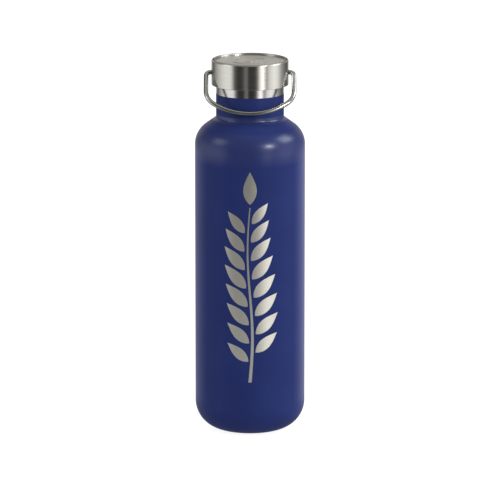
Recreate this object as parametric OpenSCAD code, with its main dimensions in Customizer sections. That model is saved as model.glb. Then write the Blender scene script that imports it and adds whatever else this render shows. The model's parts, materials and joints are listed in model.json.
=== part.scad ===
// Insulated water bottle: double-wall steel flask, screw lid with a plug, wire bail.
// Millimetres, +Z up, origin at the centre of the foot ring, front towards -Y.

/* [Bottle] */
// Radius of the coated body
body_r = 36.5; // [36.5:0.5:40]
// Height at which the straight side ends and the shoulder starts
side_top = 193; // [160:0.5:230]
// Radius of the rounded bottom corner
corner_r = 19; // [16:0.5:20]
// Radius of the shoulder's bend
shoulder_r = 16; // [14:0.5:17]
// Angle of the shoulder's cone, from the axis of the bend
shoulder_a = 54; // [51:1:57]
// Radius of the coated neck
neck_r = 22.5; // [22.4:0.1:22.8]
// Radius of the small fillet between shoulder and neck
neck_fillet_r = 1.6; // [1:0.2:2.4]
// Height of the bare steel band under the lid
band_h = 5.8; // [3:0.1:8]
// Thickness of the powder coating
coat_t = 0.08; // [0.06:0.01:0.2]
// Thickness of the outer steel wall
outer_t = 0.6; // [0.5:0.1:0.8]
// Radius of the inner flask, outside
inner_r = 33; // [31:0.5:33.5]
// Thickness of the inner steel wall
inner_t = 0.5; // [0.4:0.1:0.6]
// Gap between the foot and the inner flask's bottom
inner_z = 9; // [8.5:0.5:12]
// Inner radius of the foot ring
foot_in_r = 15; // [14:0.5:16]

/* [Lid] */
// Radius of the lid
lid_r = 25.5; // [25.2:0.1:26.2]
// Height of the lid
lid_h = 16.8; // [16:0.1:18]
// Straight neck between the shoulder's corner and the lid
neck_h = 21.7; // [20:0.1:27]
// Thickness of the lid's steel skin
skin_t = 0.5; // [0.4:0.1:0.5]
// Radius of the lid's top edge
lid_edge_r = 1.1; // [0.8:0.1:1.4]
// Depth of the recess in the top
recess_h = 1.2; // [0.5:0.1:1.3]
// Length of the plug under the flange
plug_len = 20.7; // [19:0.1:24]

/* [Thread] */
// Rise in one turn
lead = 8; // [6:1:8]
// Number of thread starts
starts = 2; // [1:1:2]
// Height of each ridge above its wall
ridge_h = 1; // [0.8:0.1:1]
// Width of a ridge at its root
ridge_root = 2.2; // [1.8:0.1:2.2]
// Width of a ridge at its crest
ridge_crest = 1.2; // [0.8:0.1:1.2]
// Turns of each ridge
ridge_turns = 0.85; // [0.5:0.05:0.9]

/* [Bail] */
// Height of the pivots above the lid's lower edge
pivot_h = 8; // [7.8:0.1:8.4]
// Radius of the wire
wire_r = 1.55; // [1.4:0.05:1.6]
// Half of the width between the legs' centre lines
leg_x = 29; // [28.8:0.1:30]
// Distance from the pivot axis to the middle of the loop
loop_len = 33.8; // [33:0.1:35]
// Radius of the loop's corners
loop_corner_r = 12.7; // [12:0.1:15]
// Radius of the bends beside the lid
bend_r = 3; // [2.5:0.1:3]
// Gap between the resting bail and the neck
bail_gap = 0.35; // [0.3:0.05:1]

/* [Mark] */
// Height of the middle of the mark
mark_z = 110; // [100:0.5:115]
// Height of the mark
mark_h = 142; // [100:2:142]
// Pairs of leaves
leaf_pairs = 8; // [4:1:10]

/* [Hidden] */
$fn = 96;

arc_n = 12;              // steps in a bent part of a profile
slide_gap = 0.1;         // gap between faces that slide or press across a joint

// Shoulder cone: its outer face lies at this distance along its own normal
cone_d = (body_r - shoulder_r) * cos(shoulder_a) + side_top * sin(shoulder_a) + shoulder_r;
neck_z = (cone_d - neck_r * cos(shoulder_a)) / sin(shoulder_a);
lid_z = neck_z + neck_h;
lid_top = lid_z + lid_h;
band_z = lid_z - band_h;

// Base
coat_edge_a = -82;       // where the coating ends under the corner
recess_z = 4;            // underside of the recessed base
base_join = 22;          // weld between base cup and side wall
cap_z = 2.4;             // underside of the cover disc in the recess
cap_t = 0.6;
cap_r = foot_in_r - 1;
cap_step = 0.3;          // how far the disc's edge is dished upwards

// Inner flask
inner_corner_r = 8;
inner_shoulder_r = 12;
inner_side_top = side_top - 1;
inner_neck_r = 21.3;
inner_fillet_r = 2;
inner_join = 26;
foil_t = 0.12;
foil_gap = 0.05;
getter_r = 4.5;
getter_h = 2;

// Rim and lid levels
rim_z = lid_z + 3;                       // top of the bottle's rim
gasket_t = 1.5;
flange_z = rim_z + gasket_t + 2 * slide_gap;
pivot_z = lid_z + pivot_h;
plate_z = lid_top - recess_h;            // visible face of the recessed disc
plate_t = 0.5;
relief = 0.25;                           // height of the ring and the drop on the disc
rim_in_r = lid_r - 1.7;                  // inner radius of the lid's raised rim
core_r = lid_r - skin_t;
skirt_t = 1.6;
skirt_in = core_r - skirt_t;             // inside of the core's skirt lining
bore_r = inner_neck_r - inner_t;         // mouth of the bottle
plug_r = bore_r - ridge_h - 0.4;
plug_wall = 2.4;
plug_z = flange_z - plug_len;
flange_t = 0.8;
cover_z = plate_z - plate_t - 2;
plug_floor = 2;
plug_bevel = 0.8;
plug_cap_t = 0.5;

// Thread
pitch = lead / starts;
thread_z = plug_z + 6;                   // middle of the male ridge where it starts
sink = 0.25;                             // how far a ridge's root goes into its wall
ring_steps = 48;                         // rings of a ridge in a full turn

// Bail
pin_play = 0.05;
bush_r = 2.5;
pin_end_x = lid_r - 5.1;
clip_x = pin_end_x + 0.5;
clip_t = 0.7;
clip_r = 2.2;
boss_x = clip_x + clip_t + 0.2;
bail_a = asin((neck_r + wire_r + bail_gap) / loop_len);   // forward lean at rest
// The centres of the wide arc and of a corner are two points of a 3-4-5 triangle
corner_x = leg_x - loop_corner_r;
arc_r = loop_corner_r + corner_x * 5 / 3;
arc_z = loop_len - arc_r;
corner_z = arc_z + corner_x * 4 / 3;
corner_a = atan2(4, 3);                                   // where a corner meets the arc

// ---- helpers ----
function arc(c, r, a0, a1, n = arc_n) =
    [for (i = [0:n]) let (a = a0 + (a1 - a0) * i / n) c + r * [cos(a), sin(a)]];

function flip(p) = [for (i = [len(p) - 1:-1:0]) p[i]];

// Shoulder, cone, fillet and neck of a flask, moved inwards by t.
// rb body, rs shoulder bend, zs its centre, rn neck, rf fillet, top end of the neck
function shoulder(t, rb, rs, zs, rn, rf, top) =
    let (a = shoulder_a,
         d = (rb - rs) * cos(a) + zs * sin(a) + rs,
         zf = (d + rf - (rn + rf) * cos(a)) / sin(a))
    concat(arc([rb - rs, zs], rs - t, 0, a),
           arc([rn + rf, zf], rf + t, a + 180, 180, 6),
           [[rn - t, top]]);

function outer_top(t, top) =
    shoulder(t, body_r, shoulder_r, side_top, neck_r, neck_fillet_r, top);

function inner_top(t, top) =
    shoulder(t, inner_r, inner_shoulder_r, inner_side_top, inner_neck_r, inner_fillet_r, top);

function outer_corner(t, a0) =
    arc([body_r - corner_r, corner_r], corner_r - t, a0, 0);

function inner_corner(t) =
    arc([inner_r - inner_corner_r, inner_z + inner_corner_r], inner_corner_r - t, -90, 0);

// One helical ridge: a trapezoid swept round Z. wall_r is the wall that it stands on
// and dir is 1 for a ridge that points outwards and -1 for one that points inwards.
module ridge(wall_r, dir, z0, a0) {
    rings = round(ridge_turns * ring_steps);
    root = wall_r - dir * sink;
    tip = wall_r + dir * ridge_h;
    section = [[root, -ridge_root / 2], [tip, -ridge_crest / 2],
               [tip, ridge_crest / 2], [root, ridge_root / 2]];
    pts = [for (i = [0:rings])
           let (f = i / rings,
                a = a0 + 360 * ridge_turns * f,
                z = z0 + lead * ridge_turns * f,
                // the ridge rises from its wall at both ends
                s = min(1, min(f, 1 - f) * 8 + 0.3))
           for (k = [0:3])
           let (r = root + (section[k][0] - root) * s)
           [r * cos(a), r * sin(a), z + section[k][1]]];
    sides = [for (i = [0:rings - 1]) for (k = [0:3])
             let (m = (k + 1) % 4, p = 4 * i)
             for (f = [[p + k, p + 4 + k, p + m], [p + m, p + 4 + k, p + 4 + m]]) f];
    last = 4 * rings;
    ends = [[0, 1, 2], [0, 2, 3], [last, last + 2, last + 1], [last, last + 3, last + 2]];
    faces = concat(sides, ends);
    polyhedron(points = pts, faces = dir < 0 ? faces : [for (f = faces) flip(f)], convexity = 4);
}

module thread(wall_r, dir, z0, a0) {
    for (s = [0:starts - 1]) ridge(wall_r, dir, z0, a0 + s * 360 / starts);
}

// ---- mark: an upright sprig, drawn in the X-Z plane ----
function leaf(length, width) =
    let (n = 6,
         edge = [for (i = [0:n]) let (f = i / n) [length * f, width / 2 * sin(180 * pow(f, 0.8))]])
    concat(edge, [for (i = [n - 1:-1:1]) [edge[i][0], -edge[i][1]]]);

function stem_x(f) = 1.6 * sin(360 * f);

module mark_shape() {
    stem_n = 14;
    low = mark_z - mark_h / 2;
    stem_h = mark_h - 24;
    left = [for (i = [0:stem_n]) let (f = i / stem_n) [stem_x(f) - 1.1 + 0.7 * f, low + stem_h * f]];
    right = [for (i = [stem_n:-1:0]) let (f = i / stem_n) [stem_x(f) + 1.1 - 0.7 * f, low + stem_h * f]];
    polygon(concat(left, right));
    for (i = [0:leaf_pairs - 1], side = [-1, 1]) {
        f = 0.12 + 0.84 * (i + 0.25 * (side + 1)) / leaf_pairs;
        size = sin(180 * (0.18 + 0.68 * f));
        translate([stem_x(f) + side * 2.2, low + stem_h * f])
            rotate(90 - side * (50 - 14 * f))
                polygon(leaf(12 + 9 * size, 4 + 4 * size));
    }
    translate([stem_x(1), low + stem_h + 2]) rotate(90) polygon(leaf(22, 9));
}

// ---- bottle ----
module outer_shell() {
    color("silver") rotate_extrude()
        polygon(concat([[body_r - coat_t, base_join]], outer_top(coat_t, rim_z),
                       flip(outer_top(coat_t + outer_t, rim_z)),
                       [[body_r - coat_t - outer_t, base_join]]));
}

module powder_coat() {
    color([0.13, 0.19, 0.40]) difference() {
        rotate_extrude()
            polygon(concat(outer_corner(0, coat_edge_a), outer_top(0, band_z),
                           flip(outer_top(coat_t, band_z)),
                           flip(outer_corner(coat_t, coat_edge_a))));
        translate([0, -body_r / 2, 0]) rotate([90, 0, 0])
            linear_extrude(body_r) mark_shape();
    }
}

module outer_base() {
    foot = arc([body_r - corner_r, corner_r], corner_r, -90, coat_edge_a, 2);
    color("silver") rotate_extrude()
        polygon(concat([[0, recess_z], [foot_in_r - 1, recess_z], [foot_in_r, 0]], foot,
                       outer_corner(coat_t, coat_edge_a),
                       [[body_r - coat_t, base_join], [body_r - coat_t - outer_t, base_join]],
                       flip(outer_corner(coat_t + outer_t, -85)),
                       [[foot_in_r + outer_t, outer_t], [foot_in_r - 0.4, recess_z + outer_t],
                        [0, recess_z + outer_t]]));
}

module base_cap() {
    edge = cap_z + cap_step;
    color("silver") rotate_extrude()
        polygon([[0, cap_z], [cap_r - 2, cap_z], [cap_r - 1.5, edge], [cap_r, edge],
                 [cap_r, edge + cap_t], [cap_r - 1.8, edge + cap_t],
                 [cap_r - 2.3, cap_z + cap_t], [0, cap_z + cap_t]]);
}

module vacuum_seal() {
    z = cap_z + cap_t + slide_gap;
    color("dimgray") translate([0, 0, z]) cylinder(r1 = 1.6, r2 = 3, h = recess_z - z);
}

module getter() {
    color("gray") translate([0, 0, recess_z + outer_t]) cylinder(r = getter_r, h = getter_h);
}

module getter_clip() {
    strap_w = 5;
    strap_t = 0.4;
    leg_x = getter_r + 0.5;
    foot_l = 4;
    z = recess_z + outer_t;
    color("silver") {
        translate([-leg_x, -strap_w / 2, z + getter_h]) cube([2 * leg_x, strap_w, strap_t]);
        for (side = [0, 1]) mirror([side, 0, 0]) {
            translate([leg_x, -strap_w / 2, z]) cube([strap_t, strap_w, getter_h + strap_t]);
            translate([leg_x, -strap_w / 2, z]) cube([foot_l, strap_w, strap_t]);
        }
    }
}

module inner_flask() {
    rim_t = 0.6;
    bevel = 0.3;
    join_r = neck_r - coat_t - outer_t;      // the rim reaches the outer wall here
    color("silver") {
        rotate_extrude()
            polygon(concat([[inner_r, inner_join]], inner_top(0, rim_z - rim_t),
                           [[join_r, rim_z - rim_t], [join_r, rim_z], [bore_r + bevel, rim_z],
                            [bore_r, rim_z - bevel]],
                           flip(inner_top(inner_t, rim_z - 2 * rim_t)),
                           [[inner_r - inner_t, inner_join]]));
        thread(bore_r, -1, thread_z + pitch / 2, 0);
    }
}

module inner_bottom() {
    color("silver") rotate_extrude()
        polygon(concat([[0, inner_z]], inner_corner(0),
                       [[inner_r, inner_join], [inner_r - inner_t, inner_join]],
                       flip(inner_corner(inner_t)), [[0, inner_z + inner_t]]));
}

module copper_liner() {
    r = inner_r + foil_gap;
    z = inner_z + inner_corner_r + 1;
    color("chocolate") translate([0, 0, z]) difference() {
        cylinder(r = r + foil_t, h = inner_side_top - z - 1);
        translate([0, 0, -1]) cylinder(r = r, h = inner_side_top);
    }
}

// ---- lid ----
module pivot_hole(r) {
    for (side = [-1, 1]) translate([side * boss_x, 0, pivot_z])
        rotate([0, side * 90, 0]) translate([0, 0, -1]) cylinder(r = r, h = lid_r);
}

module lid_shell() {
    inner_edge_r = 0.6;
    color("silver") difference() {
        rotate_extrude()
            polygon(concat([[core_r, lid_z], [lid_r, lid_z]],
                           arc([lid_r - lid_edge_r, lid_top - lid_edge_r], lid_edge_r, 0, 90),
                           arc([rim_in_r + inner_edge_r, lid_top - inner_edge_r],
                               inner_edge_r, 90, 180, 3),
                           [[rim_in_r, plate_z - plate_t], [core_r, plate_z - plate_t]]));
        pivot_hole(bush_r);
    }
}

module lid_top_plate() {
    ring_r = 11.7;
    ring_w = 1.3;
    drop_r = 4;
    drop_n = 14;
    drop_y = -1.6;
    root = 0.1;              // how far the relief goes into the disc
    drop = concat([[0, 2.1 * drop_r]],
                  [for (i = [0:drop_n]) let (a = 60 - 300 * i / drop_n)
                   drop_r * [cos(a), sin(a)]]);
    color("silver") {
        translate([0, 0, plate_z - plate_t]) cylinder(r = rim_in_r, h = plate_t);
        translate([0, 0, plate_z - root]) difference() {
            cylinder(r = ring_r, h = relief + root);
            translate([0, 0, -1]) cylinder(r = ring_r - ring_w, h = relief + 2);
        }
        translate([0, drop_y, plate_z - root]) linear_extrude(relief + root) polygon(drop);
    }
}

module lid_core() {
    top = plate_z - plate_t;
    low = lid_z + 0.3;
    edge = plug_r - plug_bevel;
    boss_l = skirt_in + 0.5 - boss_x;
    boss_w = 8;
    color("dimgray") {
        difference() {
            union() {
                rotate_extrude()
                    polygon([[0, plug_z], [edge, plug_z], [plug_r, plug_z + plug_bevel],
                             [plug_r, flange_z], [skirt_in, flange_z], [skirt_in, low],
                             [core_r, low], [core_r, top], [skirt_in, top],
                             [skirt_in, flange_z + flange_t], [plug_r, flange_z + flange_t],
                             [plug_r, cover_z], [plug_r - plug_wall, cover_z],
                             [plug_r - plug_wall, plug_z + plug_floor],
                             [0, plug_z + plug_floor]]);
                for (side = [-1, 1])
                    translate([side > 0 ? boss_x : -boss_x - boss_l, -boss_w / 2, flange_z])
                        cube([boss_l, boss_w, cover_z - flange_z]);
            }
            pivot_hole(bush_r);
        }
        thread(plug_r, 1, thread_z, 0);
    }
}

module core_cover() {
    color("dimgray") translate([0, 0, cover_z])
        cylinder(r = skirt_in, h = plate_z - plate_t - cover_z);
}

module foam_insert() {
    z = plug_z + plug_floor;
    r = plug_r - plug_wall - slide_gap;
    color("ivory") translate([0, 0, z]) cylinder(r = r, h = cover_z - z);
}

module plug_cap() {
    r = plug_r - plug_bevel;
    low = plug_z - plug_cap_t;
    color("silver") rotate_extrude()
        polygon([[0, low], [r - 0.4, low], [r, low + 0.3], [r, plug_z], [0, plug_z]]);
}

module flange_gasket() {
    in_r = plug_r + 0.3;
    out_r = skirt_in - 0.5;
    bevel = 0.3;
    color("whitesmoke") translate([0, 0, rim_z + slide_gap]) rotate_extrude()
        polygon([[in_r, 0], [out_r - bevel, 0], [out_r, bevel], [out_r, gasket_t - bevel],
                 [out_r - bevel, gasket_t], [in_r, gasket_t]]);
}

module bushing(side) {
    color("dimgray") translate([side * boss_x, 0, pivot_z]) rotate([0, side * 90, 0]) difference() {
        cylinder(r = bush_r, h = lid_r - boss_x);
        translate([0, 0, -1]) cylinder(r = wire_r + pin_play, h = lid_r);
    }
}
module left_bushing() { bushing(-1); }
module right_bushing() { bushing(1); }

// ---- bail ----
// Half of the wire's centre line, from the middle of the loop to the right-hand pin, as
// [x, z, direction of travel]. The bail hangs straight down from the pivot axis here.
function bent(x, z, r, a0, a1, n) =
    [for (i = [0:n]) let (a = a0 + (a1 - a0) * i / n) [x + r * cos(a), z + r * sin(a), a + 90]];

function half_bail() =
    concat(bent(0, -arc_z, arc_r, -90, -corner_a, 7),
           bent(corner_x, -corner_z, loop_corner_r, -corner_a * 7 / 8, 0, 7),
           bent(leg_x - bend_r, -bend_r, bend_r, 0, 90, 6),
           [[pin_end_x, 0, 180]]);

function mirrored(path) = [for (i = [len(path) - 1:-1:1]) [-path[i][0], path[i][1], -path[i][2]]];

// Round wire along a path in the X-Z plane
module wire(path, r, sides = 20) {
    pts = [for (p = path, k = [0:sides - 1])
           let (b = 360 * k / sides, u = r * cos(b))
           [p[0] - u * sin(p[2]), r * sin(b), p[1] + u * cos(p[2])]];
    rings = len(path);
    walls = [for (i = [0:rings - 2], k = [0:sides - 1])
             let (m = (k + 1) % sides, p = i * sides)
             [p + k, p + m, p + sides + m, p + sides + k]];
    ends = [[for (k = [sides - 1:-1:0]) k], [for (k = [0:sides - 1]) (rings - 1) * sides + k]];
    polyhedron(points = pts, faces = concat(walls, ends), convexity = 4);
}

module handle_wire() {
    right = half_bail();
    color("silver") translate([0, 0, pivot_z]) rotate([-bail_a, 0, 0])
        wire(concat(mirrored(right), right), wire_r);
}

module clip(side) {
    color("gray") translate([side * clip_x, 0, pivot_z]) rotate([0, side * 90, 0]) difference() {
        cylinder(r = clip_r, h = clip_t);
        translate([0, 0, -1]) cylinder(r = wire_r - pin_play, h = clip_t + 2);
    }
}
module left_clip() { clip(-1); }
module right_clip() { clip(1); }

outer_shell();
powder_coat();
outer_base();
base_cap();
inner_flask();
inner_bottom();
copper_liner();
getter();
getter_clip();
vacuum_seal();
lid_shell();
lid_top_plate();
lid_core();
core_cover();
foam_insert();
plug_cap();
flange_gasket();
left_bushing();
right_bushing();
handle_wire();
left_clip();
right_clip();
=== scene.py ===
"""Looks of the insulated steel water bottle: coated body, brushed screw lid and wire bail.

Everything is in metres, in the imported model's frame: +Z up, front towards -Y.
"""

import json
import math

import bmesh
import bpy
from mathutils import Matrix, Vector, geometry


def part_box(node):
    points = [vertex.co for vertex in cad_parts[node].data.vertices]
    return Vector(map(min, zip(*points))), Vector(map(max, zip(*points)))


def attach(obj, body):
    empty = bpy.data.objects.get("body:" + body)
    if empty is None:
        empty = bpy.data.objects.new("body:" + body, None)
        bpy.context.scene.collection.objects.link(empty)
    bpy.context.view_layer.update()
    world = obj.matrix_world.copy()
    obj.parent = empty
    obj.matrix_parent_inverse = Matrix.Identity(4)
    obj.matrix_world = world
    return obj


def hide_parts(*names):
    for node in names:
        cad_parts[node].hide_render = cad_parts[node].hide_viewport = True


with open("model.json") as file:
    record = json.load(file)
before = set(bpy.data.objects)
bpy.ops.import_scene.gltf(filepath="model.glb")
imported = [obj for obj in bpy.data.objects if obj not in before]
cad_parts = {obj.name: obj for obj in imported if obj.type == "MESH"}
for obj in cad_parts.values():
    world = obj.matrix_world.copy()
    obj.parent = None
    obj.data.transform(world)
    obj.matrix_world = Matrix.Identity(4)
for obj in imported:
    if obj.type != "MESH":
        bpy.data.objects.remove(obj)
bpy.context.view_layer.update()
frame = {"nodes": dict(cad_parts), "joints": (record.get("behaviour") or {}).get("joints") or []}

MM = 0.001

# ---------------------------------------------------------------- sizes from the frame
coat_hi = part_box("powder_coat")[1]
lid_lo, lid_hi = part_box("lid_shell")
plate_lo, plate_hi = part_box("lid_top_plate")
core_lo, core_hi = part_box("lid_core")
gasket_lo, gasket_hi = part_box("flange_gasket")
cap_lo, cap_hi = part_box("plug_cap")
base_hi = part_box("outer_base")[1]
disc_lo, disc_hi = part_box("base_cap")
flask_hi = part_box("inner_flask")[1]
cup_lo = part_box("inner_bottom")[0]
bush_lo, bush_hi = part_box("right_bushing")
cover_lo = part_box("core_cover")[0]
pivot_z = next(j for j in frame["joints"] if j["name"] == "handle_swing")["pos_m"][2]

BODY_R = coat_hi.x
BAND_Z = coat_hi.z            # the coating ends here and bare steel starts
RIM_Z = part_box("outer_shell")[1].z
LID_R = lid_hi.x
LID_Z = lid_lo.z
LID_TOP = lid_hi.z
CORE_R = core_hi.x
PLUG_Z = core_lo.z
COVER_Z = cover_lo.z
INNER_R = flask_hi.x

# ---------------------------------------------------------------- sizes shared with the part
CORNER_R = 19 * MM
SIDE_TOP = 193 * MM
SHOULDER_R = 16 * MM
SHOULDER_A = math.radians(54)
NECK_R = 22.5 * MM
NECK_FILLET = 1.6 * MM
COAT_T = 0.08 * MM
WALL_T = 0.6 * MM
COAT_EDGE_A = math.radians(-82)
FOOT_IN_R = 15 * MM
RECESS_Z = 4 * MM

FLASK_T = 0.5 * MM
FLASK_NECK_R = 21.3 * MM
FLASK_SHOULDER_R = 12 * MM
FLASK_CORNER_R = 8 * MM
FLASK_FILLET = 2 * MM
FLASK_JOIN = 26 * MM
BORE_R = FLASK_NECK_R - FLASK_T

RIDGE_H = 1 * MM
PLUG_R = BORE_R - RIDGE_H - 0.4 * MM
LEAD = 8 * MM
STARTS = 2
RIDGE_TURNS = 0.85
RIDGE_ROOT = 2.2 * MM
RIDGE_CREST = 1.2 * MM
RIDGE_SINK = 0.25 * MM

SKIRT_T = 1.6 * MM
FLANGE_Z = gasket_hi.z + 0.1 * MM
FLANGE_T = 0.8 * MM
LID_EDGE_R = 1.1 * MM
RIM_IN_R = plate_hi.x
BUSH_R = bush_hi.y

WIRE_R = 1.55 * MM
LEG_X = 29 * MM
LOOP_LEN = 33.8 * MM
LOOP_CORNER_R = 12.7 * MM
BEND_R = 3 * MM
BAIL_GAP = 0.35 * MM
PIN_END_X = LID_R - 5.1 * MM

MARK_Z = 110 * MM
MARK_H = 142 * MM
LEAF_PAIRS = 8

SEGMENTS = 288                # steps round the axis on every turned piece
SHARP = math.radians(38)       # edges sharper than this are shaded as edges

BRUSH_ALONG = 30.0            # how fast the brushing changes along and across its lines
BRUSH_ACROSS = 1000.0

GLOSS_FROM, GLOSS_TO = -10, 30    # mm above the straight side where the coat's gloss varies

LAMP_AIM = Vector((0, 0, 0.15))
LAMP_REACH = 1.6


# ---------------------------------------------------------------- outlines
def arc(cx, cz, r, a0, a1, steps=24):
    """Points on an arc in the r-z plane, angles in radians."""
    angles = [a0 + (a1 - a0) * i / steps for i in range(steps + 1)]
    return [(cx + r * math.cos(a), cz + r * math.sin(a)) for a in angles]


def shoulder(t, rb, rs, zs, rn, rf, top):
    """Shoulder bend, cone, fillet and neck of a flask, moved inwards by t."""
    a = SHOULDER_A
    d = (rb - rs) * math.cos(a) + zs * math.sin(a) + rs
    zf = (d + rf - (rn + rf) * math.cos(a)) / math.sin(a)
    bend = arc(rb - rs, zs, rs - t, 0, a)
    fillet = arc(rn + rf, zf, rf + t, a + math.pi, math.pi, 10)
    return bend + fillet + [(rn - t, top)]


def outer_top(t, top):
    return shoulder(t, BODY_R, SHOULDER_R, SIDE_TOP, NECK_R, NECK_FILLET, top)


def flask_top(t, top):
    return shoulder(t, INNER_R, FLASK_SHOULDER_R, SIDE_TOP - MM, FLASK_NECK_R, FLASK_FILLET, top)


def outer_corner(t, a0):
    return arc(BODY_R - CORNER_R, CORNER_R, CORNER_R - t, a0, 0)


def rounded(points, radii, steps=5):
    """A closed outline with its corners rounded. radii maps a corner's index to its radius.
    A support point beside each arc keeps the shading of the flat sides even."""
    out = []
    count = len(points)
    for i, p in enumerate(points):
        r = radii.get(i, 0)
        p = Vector(p)
        if not r:
            out.append(tuple(p))
            continue
        before = (Vector(points[i - 1]) - p).normalized()
        after = (Vector(points[(i + 1) % count]) - p).normalized()
        half = math.acos(max(-1, min(1, before.dot(after)))) / 2
        cut = r / math.tan(half)
        centre = p + (before + after).normalized() * (r / math.sin(half))
        start = p + before * cut
        end = p + after * cut
        out.append(tuple(start + before * r * 0.3))
        for k in range(steps + 1):
            q = start.lerp(end, k / steps) - centre
            out.append(tuple(centre + q.normalized() * r))
        out.append(tuple(end + after * r * 0.3))
    return out


# ---------------------------------------------------------------- mesh makers
def finish_mesh(name, bm, weld=1e-7):
    """Welds, points the faces outwards, marks the real edges sharp and returns the object."""
    bmesh.ops.remove_doubles(bm, verts=bm.verts, dist=weld)
    bmesh.ops.dissolve_degenerate(bm, edges=bm.edges, dist=weld)
    bmesh.ops.recalc_face_normals(bm, faces=bm.faces)
    for e in bm.edges:
        e.smooth = len(e.link_faces) == 2 and e.calc_face_angle(0) < SHARP
    mesh = bpy.data.meshes.new(name)
    bm.to_mesh(mesh)
    bm.free()
    mesh.polygons.foreach_set("use_smooth", [True] * len(mesh.polygons))
    obj = bpy.data.objects.new(name, mesh)
    bpy.context.scene.collection.objects.link(obj)
    return obj


def turn(bm, outline, segments=SEGMENTS, closed=True, steps=None):
    """Turns an outline of (r, z) points round Z into bm. steps picks some of the segments."""
    rings = []
    for r, z in outline:
        if r < 1e-9:
            rings.append([bm.verts.new((0, 0, z))])
            continue
        angles = [2 * math.pi * k / segments for k in range(segments)]
        rings.append([bm.verts.new((r * math.cos(a), r * math.sin(a), z)) for a in angles])
    pairs = list(zip(rings, rings[1:]))
    if closed:
        pairs.append((rings[-1], rings[0]))
    for low, high in pairs:
        if len(low) == 1 and len(high) == 1:
            continue
        for k in range(segments) if steps is None else steps:
            m = (k + 1) % segments
            ring = [low[k % len(low)], low[m % len(low)], high[m % len(high)], high[k % len(high)]]
            corners = list(dict.fromkeys(ring))
            if len(corners) > 2:
                bm.faces.new(corners)


def lathe(name, outline):
    bm = bmesh.new()
    turn(bm, outline)
    return finish_mesh(name, bm)


def ridge(bm, wall_r, out, z0, a0):
    """One helical thread ridge with a rounded crest. out is 1 outwards and -1 inwards."""
    rings = 150
    crest = RIDGE_H
    root_w, crest_w = RIDGE_ROOT / 2, RIDGE_CREST / 2
    soft = 0.25 * MM
    section = [(-RIDGE_SINK, -root_w), (crest - soft, -crest_w - soft * 0.35),
               (crest - soft * 0.3, -crest_w + soft * 0.1), (crest, -crest_w + soft),
               (crest, crest_w - soft), (crest - soft * 0.3, crest_w - soft * 0.1),
               (crest - soft, crest_w + soft * 0.35), (-RIDGE_SINK, root_w)]
    previous = None
    first = None
    for i in range(rings + 1):
        f = i / rings
        a = a0 + 2 * math.pi * RIDGE_TURNS * f
        z = z0 + LEAD * RIDGE_TURNS * f
        ease = min(1, min(f, 1 - f) * 9)
        ease = ease * ease * (3 - 2 * ease)
        row = []
        for h, w in section:
            r = wall_r + out * (-RIDGE_SINK + (h + RIDGE_SINK) * (0.2 + 0.8 * ease))
            row.append(bm.verts.new((r * math.cos(a), r * math.sin(a), z + w * (0.6 + 0.4 * ease))))
        if previous:
            for k in range(len(row)):
                m = (k + 1) % len(row)
                bm.faces.new([previous[k], previous[m], row[m], row[k]])
        else:
            first = row
        previous = row
    bm.faces.new(first)
    bm.faces.new(previous)


def thread(bm, wall_r, out, z0):
    for s in range(STARTS):
        ridge(bm, wall_r, out, z0, 2 * math.pi * s / STARTS)


def cut(obj, tool):
    """Takes the tool object's volume out of obj."""
    mod = obj.modifiers.new("cut", "BOOLEAN")
    mod.operation = "DIFFERENCE"
    mod.solver = "EXACT"
    mod.object = tool
    dg = bpy.context.evaluated_depsgraph_get()
    mesh = bpy.data.meshes.new_from_object(obj.evaluated_get(dg))
    obj.modifiers.clear()
    old = obj.data
    obj.data = mesh
    bpy.data.meshes.remove(old)
    bpy.data.objects.remove(tool)
    bm = bmesh.new()
    bm.from_mesh(obj.data)
    for e in bm.edges:
        e.smooth = len(e.link_faces) == 2 and e.calc_face_angle(0) < SHARP
    bm.to_mesh(obj.data)
    bm.free()
    obj.data.polygons.foreach_set("use_smooth", [True] * len(obj.data.polygons))


# ---------------------------------------------------------------- the mark
def leaf(length, width, steps=16):
    edge = []
    for i in range(steps + 1):
        f = i / steps
        edge.append((length * f, width / 2 * math.sin(math.pi * f ** 0.8)))
    return edge + [(x, -y) for x, y in reversed(edge[1:-1])]


def stem_x(f):
    return 1.6 * MM * math.sin(2 * math.pi * f)


def placed(outline, x, z, angle):
    c, s = math.cos(angle), math.sin(angle)
    return [(x + c * u - s * v, z + s * u + c * v) for u, v in outline]


def mark_outlines():
    """An upright sprig, as closed outlines of (x, z) points seen from the front."""
    low = MARK_Z - MARK_H / 2
    stem_h = MARK_H - 24 * MM
    steps = 60
    fs = [i / steps for i in range(steps + 1)]
    half = [(1.1 - 0.7 * f) * MM for f in fs]
    stem = [(stem_x(f) - h, low + stem_h * f) for f, h in zip(fs, half)]
    stem += [(stem_x(f) + h, low + stem_h * f) for f, h in reversed(list(zip(fs, half)))]
    outlines = [stem]
    for i in range(LEAF_PAIRS):
        for side in (-1, 1):
            f = 0.12 + 0.84 * (i + 0.25 * (side + 1)) / LEAF_PAIRS
            size = math.sin(math.pi * (0.18 + 0.68 * f))
            shape = leaf((12 + 9 * size) * MM, (4 + 4 * size) * MM)
            angle = math.radians(90 - side * (50 - 14 * f))
            x = stem_x(f) + side * 2.2 * MM
            outlines.append(placed(shape, x, low + stem_h * f, angle))
    outlines.append(placed(leaf(22 * MM, 9 * MM), stem_x(1), low + stem_h + 2 * MM, math.pi / 2))
    return outlines


def inside(point, outline):
    x, y = point
    hit = False
    for (x0, y0), (x1, y1) in zip(outline, outline[1:] + outline[:1]):
        if (y0 > y) != (y1 > y) and x < (x1 - x0) * (y - y0) / (y1 - y0) + x0:
            hit = not hit
    return hit


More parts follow.
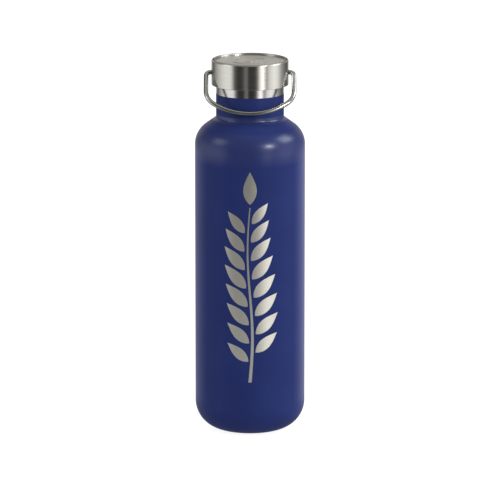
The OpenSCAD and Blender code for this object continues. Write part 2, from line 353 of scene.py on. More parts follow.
def coat_mesh():
    """The coating: a thin skin whose straight front is pierced by the mark."""
    front = 3 * SEGMENTS // 4          # the segment that starts at -Y
    reach = 26                         # segments on each side of it that the mark may use
    z0, z1 = MARK_Z - MARK_H / 2 - 6 * MM, MARK_Z + MARK_H / 2 + 6 * MM
    rows = 40
    levels = [z0 + (z1 - z0) * i / rows for i in range(rows + 1)]
    bm = bmesh.new()

    lower = outer_corner(0, COAT_EDGE_A) + [(BODY_R, z0)]
    lower_in = outer_corner(COAT_T, COAT_EDGE_A) + [(BODY_R - COAT_T, z0)]
    turn(bm, list(reversed(lower)) + lower_in, closed=False)
    top = outer_top(0, BAND_Z - 0.1 * MM)
    top_in = outer_top(COAT_T, BAND_Z)
    lip = arc(NECK_R - 0.1 * MM, BAND_Z - 0.1 * MM, 0.1 * MM, 0, math.pi / 2, 4)[1:]
    upper = [(BODY_R, z1)] + top + lip + list(reversed(top_in)) + [(BODY_R - COAT_T, z1)]
    turn(bm, upper, closed=False)
    plain = [k % SEGMENTS for k in range(front + reach, front + SEGMENTS - reach)]
    for r in (BODY_R, BODY_R - COAT_T):
        turn(bm, [(r, z) for z in levels], closed=False, steps=plain)

    # The front: a flat sheet of (angle, z) points, cut along the outlines and wrapped on.
    step = 2 * math.pi / SEGMENTS
    shapes = [[(math.asin(x / BODY_R), z) for x, z in o] for o in mark_outlines()]
    scale = BODY_R                     # angles become lengths, so the triangles are even
    points = [Vector((k * step * scale, z)) for z in levels for k in range(-reach, reach + 1)]
    points = [p for p in points if not near_outline(p, shapes, scale)]
    edges = []
    for shape in shapes:
        start = len(points)
        points += [Vector((a * scale, z)) for a, z in shape]
        edges += [(start + i, start + (i + 1) % len(shape)) for i in range(len(shape))]
    flat, _, faces, _, _, _ = geometry.delaunay_2d_cdt(points, edges, [], 0, 1e-8)
    outlines = [[(a * scale, z) for a, z in shape] for shape in shapes]
    kept = []
    for f in faces:
        middle = sum((flat[i] for i in f), Vector((0, 0))) / len(f)
        if not any(inside(middle, o) for o in outlines):
            kept.append(f)
    wrapped = {}
    for r in (BODY_R, BODY_R - COAT_T):
        wrapped[r] = [bm.verts.new((r * math.sin(p.x / scale), -r * math.cos(p.x / scale), p.y))
                      for p in flat]
        for f in kept:
            bm.faces.new([wrapped[r][i] for i in f])
    uses = {}
    for f in kept:
        for i, j in zip(f, f[1:] + f[:1]):
            uses.setdefault(frozenset((i, j)), []).append((i, j))
    half = reach * step * scale
    for used in uses.values():
        i, j = used[0]
        on_frame = any(
            abs(abs(flat[i][n]) - lim) < 1e-7 and abs(abs(flat[j][n]) - lim) < 1e-7
            for n, lim in ((0, half), (1, z0), (1, z1)))
        if len(used) == 1 and not on_frame:
            outer, inner = wrapped[BODY_R], wrapped[BODY_R - COAT_T]
            bm.faces.new([outer[j], outer[i], inner[i], inner[j]])
    loose = [v for v in bm.verts if not v.link_faces]
    bmesh.ops.delete(bm, geom=loose, context="VERTS")
    return finish_mesh("coat", bm, 2e-6)


def near_outline(p, shapes, scale):
    """True for a grid point that would make slivers beside the mark's outline."""
    gap = 0.35 * MM
    return any(abs(p.x - a * scale) < gap and abs(p.y - z) < gap for s in shapes for a, z in s)


# ---------------------------------------------------------------- materials
class Shader:
    """A material and short ways to add nodes to it."""

    def __init__(self, name):
        self.material = bpy.data.materials.new(name)
        self.material.use_nodes = True
        self.tree = self.material.node_tree
        self.bsdf = self.tree.nodes["Principled BSDF"]

    def add(self, kind, **values):
        """A node. Values are settings where the node has them, and inputs otherwise."""
        n = self.tree.nodes.new("ShaderNode" + kind)
        for key, value in values.items():
            if hasattr(n, key):
                setattr(n, key, value)
        for key, value in values.items():
            if not hasattr(n, key):
                self.put(n, key, value)
        return n

    def put(self, n, key, value):
        socket = n.inputs[int(key[1:])] if key[0] == "i" and key[1:].isdigit() else \
            n.inputs[key.replace("_", " ")]
        if isinstance(value, bpy.types.NodeSocket):
            self.tree.links.new(value, socket)
        else:
            socket.default_value = value

    def set(self, **values):
        for key, value in values.items():
            self.put(self.bsdf, key, value)

    def math(self, operation, a, b=0.0, c=0.0):
        return self.add("Math", operation=operation, i0=a, i1=b, i2=c).outputs[0]

    def noise(self, vector, scale, detail=2.0, roughness=0.5):
        n = self.add("TexNoise", Vector=vector, Scale=scale, Detail=detail, Roughness=roughness)
        return n.outputs["Fac"]

    def ramp(self, fac, stops):
        n = self.add("ValToRGB")
        n.color_ramp.elements[0].position = stops[0][0]
        n.color_ramp.elements[0].color = (*stops[0][1], 1)
        n.color_ramp.elements[1].position = stops[-1][0]
        n.color_ramp.elements[1].color = (*stops[-1][1], 1)
        for position, colour in stops[1:-1]:
            n.color_ramp.elements.new(position).color = (*colour, 1)
        self.put(n, "Fac", fac)
        return n.outputs["Color"]

    def span(self, value, low, high, to_low, to_high):
        n = self.add("MapRange", i0=value, i1=low, i2=high, i3=to_low, i4=to_high)
        return n.outputs[0]

    def bump(self, height, strength, distance, normal=None):
        n = self.add("Bump", Strength=strength, Distance=distance, Height=height)
        if normal:
            self.put(n, "Normal", normal)
        return n.outputs["Normal"]

    def position(self):
        return self.add("TexCoord").outputs["Object"]


def tinted(colour, k):
    return tuple(min(1, c * k) for c in colour)


def brush_coordinate(s, position):
    """A vector that changes fast across circular brushing and slowly along it."""
    xyz = s.add("SeparateXYZ", Vector=position)
    x, y, z = xyz.outputs
    flat = s.add("CombineXYZ", X=x, Y=y)
    r = s.add("VectorMath", operation="LENGTH", i0=flat.outputs[0]).outputs["Value"]
    across = s.math("ADD", z, r)
    return s.add("CombineXYZ", X=s.math("MULTIPLY", x, BRUSH_ALONG),
                 Y=s.math("MULTIPLY", y, BRUSH_ALONG),
                 Z=s.math("MULTIPLY", across, BRUSH_ACROSS)).outputs[0], z


def brush_lines(s):
    """Coarse and fine brushing lines, mixed evenly, and the height z."""
    vector, z = brush_coordinate(s, s.position())
    coarse = s.noise(vector, 2.2, 3.0, 0.6)
    fine = s.noise(vector, 9.0, 4.0, 0.7)
    lines = s.math("ADD", s.math("MULTIPLY", coarse, 0.5), s.math("MULTIPLY", fine, 0.5))
    return lines, z


def brushed_steel(name, colour, roughness=0.22, stretch=0.8, depth=0.25, satin_z=1.0):
    """Steel brushed round its axis: fine circular lines, and highlights drawn across them."""
    s = Shader(name)
    lines, z = brush_lines(s)
    satin = s.span(z, satin_z, satin_z + 0.4 * MM, 1.0, 2.4)
    s.set(Base_Color=s.ramp(lines, [(0.3, tinted(colour, 0.86)), (0.7, tinted(colour, 1.08))]),
          Metallic=1.0, Anisotropic=stretch, Anisotropic_Rotation=0.25,
          Roughness=s.math("MULTIPLY", satin,
                           s.span(lines, 0.3, 0.7, roughness * 0.8, roughness * 1.25)),
          Normal=s.bump(lines, depth, 0.00004),
          Tangent=s.add("Tangent", direction_type="RADIAL", axis="Z").outputs[0])
    return s.material


def coated_blue(name):
    """Powder coating: deep blue with a fine grain. A painted sheen lightens the side towards its
    outline where it is seen at a glance, above the bottom corner; the coat is glossier on the
    shoulder and at the foot of the neck."""
    s = Shader(name)
    position = s.position()
    z = s.add("SeparateXYZ", Vector=position).outputs[2]
    cloud = s.noise(position, 35.0, 3.0)
    grain = s.noise(position, 1600.0, 2.0, 0.6)
    swell = s.noise(position, 420.0, 2.0)
    tone = s.ramp(cloud, [(0.3, (0.0163, 0.0256, 0.109)), (0.7, (0.0183, 0.0292, 0.122))])
    # Painted sheen: a pale grey-blue added to the base colour where the surface is seen at a
    # glance, standing in for light caught at the outline.
    facing = s.add("LayerWeight", Blend=0.5).outputs["Facing"]
    painted_edge_sheen = s.ramp(facing, [(0.40, (0, 0, 0)), (0.5, (0.013, 0.013, 0.017)),
                           (0.62, (0.042, 0.042, 0.052)), (0.8, (0.093, 0.093, 0.112))])
    # Where the painted sheen shows: on the side, from above the bottom corner up to the shoulder.
    edge = s.math("MULTIPLY", s.span(z, SIDE_TOP - 4 * MM, SIDE_TOP + 8 * MM, 1.0, 0.0),
                  s.span(z, 9 * MM, 24 * MM, 0.0, 1.0))
    # Base colour: the blue tone plus the painted sheen.
    colour = s.add("Mix", data_type="RGBA", blend_type="ADD", Factor=edge)
    s.tree.links.new(tone, colour.inputs[6])
    s.tree.links.new(painted_edge_sheen, colour.inputs[7])
    # Height above the straight side in mm, and gloss
    gloss_range = GLOSS_TO - GLOSS_FROM
    gloss = s.ramp(s.span(z, SIDE_TOP + GLOSS_FROM * MM, SIDE_TOP + GLOSS_TO * MM, 0.0, 1.0),
                   [((mm - GLOSS_FROM) / gloss_range, [value] * 3) for mm, value in
                    ((-10, 0.05), (-2, 0.42), (8, 0.42), (12, 0.08), (16.6, 0.08), (17.2, 0.6),
                     (20, 0.6), (21, 0.08))])
    s.set(Base_Color=colour.outputs[2], Roughness=s.span(grain, 0.3, 0.7, 0.27, 0.33),
          Specular_IOR_Level=gloss,
          Normal=s.bump(grain, 0.10, 0.00003, s.bump(swell, 0.12, 0.00008)))
    return s.material


def wall_steel(name):
    """Outer wall: brushed at the bare neck band, laser-hatched where the mark shows it."""
    s = Shader(name)
    lines, z = brush_lines(s)
    band = s.math("GREATER_THAN", z, BAND_Z - MM)
    pitch = 0.55 * MM
    hatch = s.math("SINE", s.math("MULTIPLY", z, 2 * math.pi / pitch))
    blotch = s.noise(s.position(), 900.0, 3.0, 0.6)
    etched = s.math("ADD", s.span(hatch, -1.0, 1.0, 0.30, 0.55), s.math("MULTIPLY", blotch, 0.35))
    polish = s.ramp(lines, [(0.3, (0.62, 0.61, 0.59)), (0.7, (0.78, 0.77, 0.74))])
    laser = s.ramp(etched, [(0.3, (0.54, 0.52, 0.45)), (0.8, (0.80, 0.77, 0.68))])
    bare = s.span(z, 30 * MM, SIDE_TOP, 0.66, 0.92)
    colour = s.add("Mix", data_type="RGBA", Factor=band)
    s.tree.links.new(laser, colour.inputs[6])
    s.tree.links.new(polish, colour.inputs[7])
    rough = s.add("Mix", data_type="FLOAT", Factor=band)
    s.tree.links.new(s.span(etched, 0.3, 0.8, 0.42, 0.55), rough.inputs[2])
    s.tree.links.new(s.span(lines, 0.3, 0.7, 0.13, 0.2), rough.inputs[3])
    height = s.add("Mix", data_type="FLOAT", Factor=band)
    s.tree.links.new(etched, height.inputs[2])
    s.tree.links.new(lines, height.inputs[3])
    s.set(Base_Color=colour.outputs[2], Metallic=s.math("MAXIMUM", bare, band),
          Roughness=rough.outputs[0], Anisotropic=0.6, Anisotropic_Rotation=0.25,
          Normal=s.bump(height.outputs[0], 0.3, 0.00004),
          Tangent=s.add("Tangent", direction_type="RADIAL", axis="Z").outputs[0])
    return s.material


def drawn_wire(name):
    """Polished drawn wire, with fine handling marks and a patchy haze in its roughness."""
    s = Shader(name)
    position = s.position()
    marks = s.noise(position, 700.0, 5.0, 0.65)
    haze = s.noise(position, 160.0, 2.0)
    s.set(Base_Color=s.ramp(marks, [(0.3, (0.46, 0.47, 0.43)), (0.7, (0.56, 0.57, 0.52))]),
          Metallic=1.0, Roughness=s.span(haze, 0.3, 0.7, 0.2, 0.27),
          Normal=s.bump(marks, 0.06, 0.00003))
    return s.material


def moulded(name, colour, roughness, grain=1500.0, depth=0.25, sheen=0.0):
    """Moulded plastic or rubber with a fine grain."""
    s = Shader(name)
    position = s.position()
    texture = s.noise(position, grain, 3.0, 0.6)
    cloud = s.noise(position, 60.0, 2.0)
    s.set(Base_Color=s.ramp(cloud, [(0.3, tinted(colour, 0.88)), (0.7, tinted(colour, 1.1))]),
          Roughness=s.span(texture, 0.3, 0.7, roughness * 0.88, roughness * 1.12),
          Normal=s.bump(texture, depth, 0.00005), Sheen_Weight=sheen)
    return s.material


def rolled_metal(name, colour, roughness, scale=(400.0, 400.0, 60.0)):
    """Plain sheet metal with rolling marks along Z."""
    s = Shader(name)
    stretch = s.add("Mapping", Vector=s.position(), Scale=scale).outputs[0]
    marks = s.noise(stretch, 1.0, 4.0, 0.6)
    s.set(Base_Color=s.ramp(marks, [(0.3, tinted(colour, 0.8)), (0.7, tinted(colour, 1.15))]),
          Metallic=1.0, Roughness=s.span(marks, 0.3, 0.7, roughness * 0.8, roughness * 1.2),
          Normal=s.bump(marks, 0.2, 0.00005))
    return s.material


def foam(name):
    """Rigid closed-cell foam."""
    s = Shader(name)
    cells = s.add("TexVoronoi", Vector=s.position(), Scale=1800.0).outputs["Distance"]
    s.set(Base_Color=s.ramp(cells, [(0.1, (0.62, 0.57, 0.42)), (0.6, (0.82, 0.78, 0.64))]),
          Roughness=0.85, Normal=s.bump(cells, 0.6, 0.0002))
    return s.material


STEEL = (0.72, 0.705, 0.645)
blue = coated_blue("blue_powder_coat")
wall = wall_steel("outer_wall_steel")
lid_steel = brushed_steel("brushed_lid_steel", STEEL, 0.2, 0.8, satin_z=LID_TOP - 0.9 * MM)
top_steel = brushed_steel("spun_top_steel", (0.68, 0.665, 0.605), 0.36, 0.5, 0.35)
base_steel = brushed_steel("spun_base_steel", STEEL, 0.3, 0.6)
inner_steel = brushed_steel("flask_steel", (0.66, 0.655, 0.64), 0.28, 0.5)
plug_steel = brushed_steel("plug_cap_steel", (0.68, 0.67, 0.65), 0.26, 0.6)
wire_steel = drawn_wire("bail_wire_steel")
clip_steel = rolled_metal("clip_steel", (0.6, 0.6, 0.6), 0.35)
copper = rolled_metal("copper_foil", (0.85, 0.42, 0.26), 0.3)
sintered = rolled_metal("getter_metal", (0.32, 0.32, 0.33), 0.6, (2500.0, 2500.0, 2500.0))
core_plastic = moulded("core_plastic", (0.028, 0.029, 0.032), 0.42)
bush_plastic = moulded("bushing_plastic", (0.035, 0.035, 0.037), 0.38, 2200.0)
silicone = moulded("gasket_silicone", (0.70, 0.70, 0.68), 0.5, 900.0, 0.15, 0.2)
bead = moulded("vacuum_seal_bead", (0.06, 0.06, 0.065), 0.2, 700.0)
foam_core = foam("insulation_foam")


# ---------------------------------------------------------------- pieces
def piece(obj, material, body, slot, *nodes):
    """Gives a piece its material and body, and hides the nodes it stands for. The slot is not used.
    """
    obj.data.materials.clear()
    obj.data.materials.append(material)
    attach(obj, body)
    if nodes:
        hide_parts(*nodes)
    return obj


def outer_wall():
    low = BODY_R - COAT_T
    inner = BODY_R - COAT_T - WALL_T
    z = base_hi.z
    outside = [(low, z)] + outer_top(COAT_T, RIM_Z)
    inside_ = [(inner, z)] + outer_top(COAT_T + WALL_T, RIM_Z)
    outline = outside + list(reversed(inside_))
    corner = len(outside) - 1
    return lathe("outer_wall", rounded(outline, {corner: 0.35 * MM, corner + 1: 0.1 * MM}))


def base_cup():
    a0 = COAT_EDGE_A
    foot = arc(BODY_R - CORNER_R, CORNER_R, CORNER_R, -math.pi / 2, a0, 4)
    top = base_hi.z
    low = BODY_R - COAT_T
    inside_ = outer_corner(COAT_T + WALL_T, math.radians(-85))
    outline = [(0, RECESS_Z), (FOOT_IN_R - MM, RECESS_Z), (FOOT_IN_R, 0)]
    outline += foot + outer_corner(COAT_T, a0) + [(low, top), (low - WALL_T, top)]
    outline += list(reversed(inside_))
    outline += [(FOOT_IN_R + WALL_T, WALL_T), (FOOT_IN_R - 0.4 * MM, RECESS_Z + WALL_T),
                (0, RECESS_Z + WALL_T)]
    return lathe("base_cup", rounded(outline, {1: 0.5 * MM, 2: 0.5 * MM}))


def base_disc():
    r = disc_hi.x
    z, top = disc_lo.z, disc_hi.z
    outline = [(0, z), (r - 2 * MM, z), (r - 1.5 * MM, z + 0.3 * MM), (r, z + 0.3 * MM),
               (r, top), (r - 1.8 * MM, top), (r - 2.3 * MM, top - 0.3 * MM),
               (0, top - 0.3 * MM)]
    return lathe("base_disc", rounded(outline, {1: 0.6 * MM, 2: 0.5 * MM, 3: 0.15 * MM}))


def flask():
    rim = 0.6 * MM
    join_r = NECK_R - COAT_T - WALL_T
    outside = [(INNER_R, FLASK_JOIN)] + flask_top(0, RIM_Z - rim)
    inside_ = [(INNER_R - FLASK_T, FLASK_JOIN)] + flask_top(FLASK_T, RIM_Z)
    outline = outside + [(join_r, RIM_Z - rim), (join_r, RIM_Z)] + list(reversed(inside_))
    n = len(outside)
    bm = bmesh.new()
    turn(bm, rounded(outline, {n + 1: 0.1 * MM, n + 2: 0.35 * MM}))
    thread(bm, BORE_R, -1, PLUG_Z + 6 * MM + LEAD / STARTS / 2)
    return finish_mesh("flask", bm)


def flask_bottom():
    z = cup_lo.z
    centre = (INNER_R - FLASK_CORNER_R, z + FLASK_CORNER_R)
    outside = arc(*centre, FLASK_CORNER_R, -math.pi / 2, 0)
    inside_ = arc(*centre, FLASK_CORNER_R - FLASK_T, -math.pi / 2, 0)
    outline = [(0, z)] + outside + [(INNER_R, FLASK_JOIN), (INNER_R - FLASK_T, FLASK_JOIN)]
    return lathe("flask_bottom", outline + list(reversed(inside_)) + [(0, z + FLASK_T)])


def pivot_tool(r):
    """A rod through both pivots, to cut their holes."""
    bm = bmesh.new()
    span = 2 * LID_R + 4 * MM
    place = Matrix.Translation((0, 0, pivot_z)) @ Matrix.Rotation(math.pi / 2, 4, "Y")
    bmesh.ops.create_cone(bm, cap_ends=True, segments=64, radius1=r, radius2=r, depth=span,
                          matrix=place)
    return finish_mesh("pivot_tool", bm)


def lid_cap():
    under = plate_lo.z
    outline = [(CORE_R, LID_Z), (LID_R, LID_Z), (LID_R, LID_TOP), (RIM_IN_R, LID_TOP),
               (RIM_IN_R, under), (CORE_R, under)]
    radii = {0: 0.12 * MM, 1: 0.22 * MM, 2: LID_EDGE_R, 3: 0.6 * MM}
    obj = lathe("lid_cap", rounded(outline, radii, 10))
    cut(obj, pivot_tool(BUSH_R))
    return obj


def lid_disc():
    """Recessed top disc: a groove round it, and a ring and a drop in low relief."""
    face = plate_hi.z - 0.25 * MM
    relief = plate_hi.z
    ring_r, ring_w = 11.7 * MM, 1.3 * MM
    r = RIM_IN_R
    slope = 0.25 * MM
    groove_w, groove_d = 0.45 * MM, 0.38 * MM
    outline = [(0, plate_lo.z), (r, plate_lo.z), (r, face - groove_d),
               (r - groove_w, face - groove_d), (r - groove_w, face), (ring_r + slope, face),
               (ring_r, relief), (ring_r - ring_w, relief), (ring_r - ring_w - slope, face),
               (0, face)]
    radii = {4: 0.12 * MM, 5: 0.2 * MM, 6: 0.15 * MM, 7: 0.15 * MM, 8: 0.2 * MM}
    bm = bmesh.new()
    turn(bm, rounded(outline, radii))
    drop(bm, face, relief - face)
    return finish_mesh("lid_disc", bm)


def drop(bm, z, h):
    """A water drop with a domed top, standing on the face at z."""
    r = 4 * MM
    steps = 48
    edge = []
    for i in range(steps):
        a = 2 * math.pi * i / steps
        x = r * math.sin(a) * math.sin(a / 2) ** 1.4
        y = r * 1.5 * math.cos(a)
        edge.append((x * 1.1, y + 0.4 * MM))
    rings = [(1.0, -0.05 * MM), (1.0, 0.3 * h), (0.96, 0.6 * h), (0.88, 0.85 * h), (0.7, h)]
    rows = []
    for k, up in rings:
        rows.append([bm.verts.new((x * k, y * k, z + up)) for x, y in edge])
    for low, high in zip(rows, rows[1:]):
        for i in range(steps):
            j = (i + 1) % steps
            bm.faces.new([low[i], low[j], high[j], high[i]])
    bm.faces.new(rows[0])
    bm.faces.new(rows[-1])


def plug():
    """Moulded core: skirt lining, flange, hollow plug and its male thread."""
    skirt_in = CORE_R - SKIRT_T
    top = core_hi.z
    wall_in = PLUG_R - 2.4 * MM
    low = LID_Z + 0.3 * MM
    outline = [(0, PLUG_Z), (PLUG_R, PLUG_Z), (PLUG_R, FLANGE_Z), (skirt_in, FLANGE_Z),
               (skirt_in, low), (CORE_R, low), (CORE_R, top), (skirt_in, top),
               (skirt_in, FLANGE_Z + FLANGE_T), (PLUG_R, FLANGE_Z + FLANGE_T),
               (PLUG_R, COVER_Z), (wall_in, COVER_Z), (wall_in, PLUG_Z + 2 * MM),
               (0, PLUG_Z + 2 * MM)]
    radii = {1: 0.8 * MM, 2: 0.3 * MM, 3: 0.3 * MM, 4: 0.3 * MM, 5: 0.2 * MM}
    obj = lathe("plug_core", rounded(outline, radii))
    cut(obj, pivot_tool(BUSH_R))
    bm = bmesh.new()
    bm.from_mesh(obj.data)
    thread(bm, PLUG_R, 1, PLUG_Z + 6 * MM)
    bosses(bm, skirt_in)
    name = obj.name
    bpy.data.objects.remove(obj)
    return finish_mesh(name, bm)


def bosses(bm, skirt_in):
    """The two blocks inside the lid round the bushings. They are solid, not drilled, so the
    bushings and the bail's pins pass through them, out of sight."""
    inner_x = bush_lo.x
    size = Vector((skirt_in - inner_x, 8 * MM, COVER_Z - FLANGE_Z - FLANGE_T))
    for side in (-1, 1):
        middle = Vector((side * (inner_x + size.x / 2), 0, FLANGE_Z + FLANGE_T + size.z / 2))
        place = Matrix.Translation(middle) @ Matrix.Diagonal((*size, 1))
        made = bmesh.ops.create_cube(bm, size=1, matrix=place)
        edges = list({e for v in made["verts"] for e in v.link_edges})
        bmesh.ops.bevel(bm, geom=edges, offset=0.3 * MM, segments=3, affect="EDGES")


def plug_dish():
    r = cap_hi.x
    z, top = cap_lo.z, cap_hi.z
    outline = [(0, z + 0.12 * MM), (r - 4 * MM, z + 0.12 * MM), (r - 3 * MM, z),
               (r - 0.4 * MM, z), (r, top - 0.2 * MM), (r, top), (0, top)]
    return lathe("plug_dish", rounded(outline, {1: 0.8 * MM, 2: 0.8 * MM, 3: 0.3 * MM}))


def seal():
    in_r = PLUG_R + 0.3 * MM
    out_r = gasket_hi.x
    z, top = gasket_lo.z, gasket_hi.z
    outline = [(in_r, z), (out_r, z), (out_r, top), (in_r, top)]
    r = 0.45 * MM
    return lathe("seal", rounded(outline, {0: r, 1: r, 2: r, 3: r}, 8))


def bush(name, side):
    """A bushing round the bail's pin, flush with the lid's side."""
    hole = WIRE_R + 0.05 * MM
    length = bush_hi.x - bush_lo.x
    outline = [(hole, 0), (BUSH_R, 0), (BUSH_R, length), (hole, length)]
    bm = bmesh.new()
    turn(bm, rounded(outline, {0: 0.1 * MM, 1: 0.15 * MM, 2: 0.25 * MM, 3: 0.2 * MM}), 64)
    place = Matrix.Translation((side * bush_lo.x, 0, pivot_z))
    bm.transform(place @ Matrix.Rotation(side * math.pi / 2, 4, "Y"))
    return finish_mesh(name, bm)


def bail_path():
    """The wire's centre line as (x, z, direction), hanging straight down from the pivots."""
    corner_x = LEG_X - LOOP_CORNER_R
    arc_r = LOOP_CORNER_R + corner_x * 5 / 3
    arc_z = LOOP_LEN - arc_r
    corner_z = arc_z + corner_x * 4 / 3
    corner_a = math.atan2(4, 3)

    def bent(x, z, r, a0, a1, n):
        angles = [a0 + (a1 - a0) * i / n for i in range(n + 1)]
        return [(x + r * math.cos(a), z + r * math.sin(a), a + math.pi / 2) for a in angles]

    right = bent(0, -arc_z, arc_r, -math.pi / 2, -corner_a, 40)
    right += bent(corner_x, -corner_z, LOOP_CORNER_R, -corner_a, 0, 40)[1:]
    leg = corner_z - BEND_R
    right += [(LEG_X, -corner_z + leg * i / 12, math.pi / 2) for i in range(1, 12)]
    right += bent(LEG_X - BEND_R, -BEND_R, BEND_R, 0, math.pi / 2, 20)
    pin = LEG_X - BEND_R - PIN_END_X
    right += [(LEG_X - BEND_R - pin * i / 6, 0, math.pi) for i in range(1, 7)]
    left = [(-x, z, -a) for x, z, a in reversed(right[1:])]
    return left + right


def bail():
    """Round wire swept along the path, its pin ends chamfered, leaned forward to rest."""
    sides = 36
    path = bail_path()
    chamfer = 0.35 * MM
    x, z, a = path[-1]
    inner = [(x + chamfer, z, a)]
    path = [(-x, z, -a)] + [(-x - chamfer, z, -a)] + path[1:-1] + inner + [(x, z, a)]
    bm = bmesh.new()
    rows = []
    for n, (x, z, a) in enumerate(path):
        r = WIRE_R - chamfer if n in (0, len(path) - 1) else WIRE_R
        row = []
        for k in range(sides):
            b = 2 * math.pi * k / sides
            u = r * math.cos(b)
            row.append(bm.verts.new((x - u * math.sin(a), r * math.sin(b), z + u * math.cos(a))))
        rows.append(row)
    for low, high in zip(rows, rows[1:]):
        for k in range(sides):
            m = (k + 1) % sides
            bm.faces.new([low[k], low[m], high[m], high[k]])
    bm.faces.new(rows[0])
    bm.faces.new(rows[-1])
    lean = math.asin((NECK_R + WIRE_R + BAIL_GAP) / LOOP_LEN)
    bm.transform(Matrix.Translation((0, 0, pivot_z)) @ Matrix.Rotation(-lean, 4, "X"))
    return finish_mesh("bail", bm)


piece(coat_mesh(), blue, "bottle", "blue_coat", "powder_coat")
piece(outer_wall(), wall, "bottle", "wall_steel", "outer_shell")
piece(base_cup(), base_steel, "bottle", "base_steel", "outer_base")
piece(base_disc(), base_steel, "bottle", "base_steel", "base_cap")
piece(flask(), inner_steel, "bottle", "inner_steel", "inner_flask")
piece(flask_bottom(), inner_steel, "bottle", "inner_steel", "inner_bottom")
piece(lid_cap(), lid_steel, "lid", "lid_steel", "lid_shell")
piece(lid_disc(), top_steel, "lid", "lid_top_steel", "lid_top_plate")
piece(plug(), core_plastic, "lid", "core_plastic", "lid_core")
piece(plug_dish(), plug_steel, "lid", "plug_steel", "plug_cap")
piece(seal(), silicone, "seal_ring", "gasket", "flange_gasket")
piece(bush("left_bush", -1), bush_plastic, "lid", "bushing", "left_bushing")
piece(bush("right_bush", 1), bush_plastic, "lid", "bushing", "right_bushing")
piece(bail(), wire_steel, "bail", "wire_steel", "handle_wire")

for node, material in {"copper_liner": copper, "getter": sintered, "getter_clip": clip_steel,
                       "vacuum_seal": bead, "core_cover": core_plastic,
                       "foam_insert": foam_core, "left_clip": clip_steel,
                       "right_clip": clip_steel}.items():
    obj = frame["nodes"][node]
    if not obj.material_slots:
        obj.data.materials.append(None)
    for material_slot in obj.material_slots:
        material_slot.material = material


# ---------------------------------------------------------------- floor, light and camera
def floor():
    bm = bmesh.new()
    bmesh.ops.create_grid(bm, x_segments=4, y_segments=4, size=8.0)
    obj = finish_mesh("floor", bm)
    s = Shader("pale_floor")
    s.set(Base_Color=(0.25, 0.25, 0.25, 1), Roughness=0.9,
          Emission_Color=(1, 1, 1, 1), Emission_Strength=0.9)
    obj.data.materials.append(s.material)
    obj.visible_glossy = False       # the surroundings stand for it in reflections
    obj.visible_diffuse = False


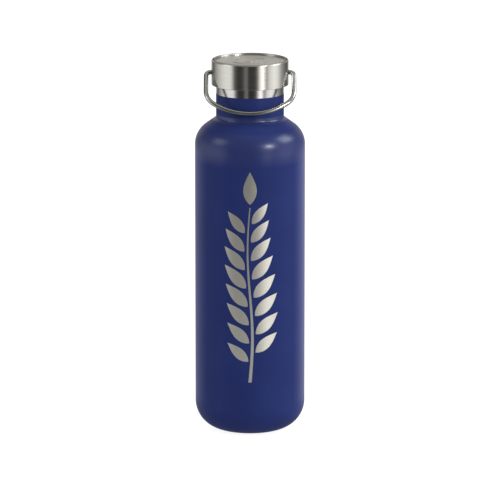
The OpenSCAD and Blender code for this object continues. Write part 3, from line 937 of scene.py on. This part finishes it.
def studio_world():
    """White to the camera. Reflections see a tent of light and dark bands, and diffuse light
    comes from a soft shade that is brighter on the right and dimmer in front."""
    world = bpy.data.worlds.new("studio")
    bpy.context.scene.world = world
    world.use_nodes = True
    tree = world.node_tree
    tree.nodes.clear()

    def add(kind, inputs=(), **settings):
        n = tree.nodes.new("ShaderNode" + kind)
        for key, value in settings.items():
            setattr(n, key, value)
        for index, value in inputs:
            if isinstance(value, bpy.types.NodeSocket):
                tree.links.new(value, n.inputs[index])
            else:
                n.inputs[index].default_value = value
        return n

    def mix(fac, a, b):
        return add("Mix", [(0, fac), (6, a), (7, b)], data_type="RGBA").outputs[2]

    def ease(value, low, high):
        return add("MapRange", [(0, value), (1, low), (2, high)],
                   interpolation_type="SMOOTHSTEP").outputs[0]

    way = add("TexCoord").outputs["Generated"]
    x, y, z = add("SeparateXYZ", [(0, way)]).outputs
    front = add("Math", [(0, y), (1, -1)], operation="MULTIPLY").outputs[0]
    angle = add("Math", [(0, x), (1, front)], operation="ARCTAN2").outputs[0]
    share = add("MapRange", [(0, angle), (1, -math.pi), (2, math.pi)]).outputs[0]
    # Degrees round the bottle, 0 towards the camera and positive to its right, and light
    stops = [(-180, 0.55), (-158, 0.4), (-146, 0.14), (-138, 0.14), (-112, 0.56), (-93, 0.86),
             (-77, 1.0), (-60, 1.0), (-53, 0.5), (-47, 0.12), (-36, 0.03), (-23, 0.04),
             (-13, 0.2), (-9, 0.2), (-4, 0.03), (14, 0.04), (21, 0.12), (27, 0.6), (32, 1.35),
             (41, 1.35), (46, 0.45), (53, 0.4), (60, 0.9), (77, 1.16), (92, 0.96), (104, 0.5),
             (116, 0.3), (138, 0.1), (150, 0.14), (162, 0.5)]
    tent = add("ValToRGB", [(0, share)])
    brightest = max(light for _, light in stops)
    for index, (degrees, light) in enumerate(stops):
        place = (degrees + 180) / 360
        element = tent.color_ramp.elements[0] if index == 0 else \
            tent.color_ramp.elements.new(place)
        element.position = place
        element.color = (*[light / brightest] * 3, 1)
    last = tent.color_ramp.elements[len(stops)]
    last.color = (*[stops[0][1] / brightest] * 3, 1)
    band = add("VectorMath", [(0, tent.outputs[0]), (3, brightest)], operation="SCALE").outputs[0]
    sides = mix(ease(z, 0.0, 0.35), band, (0.12, 0.12, 0.12, 1))
    sides = mix(ease(z, 0.80, 0.95), sides, (0.62, 0.62, 0.60, 1))
    back = add("Math", [(0, ease(y, 0.6, 0.9)), (1, ease(z, -0.02, 0.12))], operation="MULTIPLY")
    sides = mix(back.outputs[0], sides, (0.58, 0.57, 0.55, 1))
    low = mix(ease(z, -0.32, -0.6), sides, (0.25, 0.25, 0.26, 1))
    path = add("LightPath").outputs
    shade = mix(ease(x, -1.0, 1.0), (0.92, 0.93, 0.96, 1), (1.10, 1.12, 1.18, 1))
    shade = mix(ease(y, 0.1, -1.0), shade, (0.62, 0.63, 0.65, 1))
    soft = mix(path["Is Diffuse Ray"], low, shade)
    seen = mix(path["Is Camera Ray"], soft, (1, 1, 1, 1))
    background = add("Background", [(0, seen)])
    add("OutputWorld", [(0, background.outputs[0])])


def softbox(name, azimuth, elevation, width, height, power, colour):
    """A soft area light. Azimuth is measured from the camera's side, positive to its right."""
    a, e = math.radians(azimuth), math.radians(elevation)
    way = Vector((math.sin(a) * math.cos(e), -math.cos(a) * math.cos(e), math.sin(e)))
    data = bpy.data.lights.new(name, "AREA")
    data.shape = "RECTANGLE"
    data.size = width
    data.size_y = height
    data.energy = power
    data.color = colour
    obj = bpy.data.objects.new(name, data)
    obj.location = LAMP_AIM + way * LAMP_REACH
    obj.rotation_mode = "QUATERNION"
    obj.rotation_quaternion = way.to_track_quat("Z", "Y")
    obj.visible_camera = False
    bpy.context.scene.collection.objects.link(obj)


def camera():
    """The product view: from 3 m, looking down by 12 degrees through a long lens."""
    data = bpy.data.cameras.new("camera")
    data.sensor_width = 36
    data.lens = 331.9
    obj = bpy.data.objects.new("camera", data)
    obj.location = (0, -3.0, 0.769)
    obj.rotation_euler = (math.radians(90 - 12.191), 0, 0)
    data.clip_end = 40
    bpy.context.scene.collection.objects.link(obj)
    bpy.context.scene.camera = obj


floor()
studio_world()
softbox("left_softbox", -74, 30, 0.7, 0.6, 3.4, (0.84, 0.94, 1.0))
softbox("front_lamp", 42, 21.5, 0.28, 0.24, 9.5, (0.98, 0.97, 1.0))
softbox("right_softbox", 93, 34, 0.75, 0.7, 11, (0.88, 0.93, 1.0))
camera()
bpy.context.scene.view_settings.view_transform = "Standard"
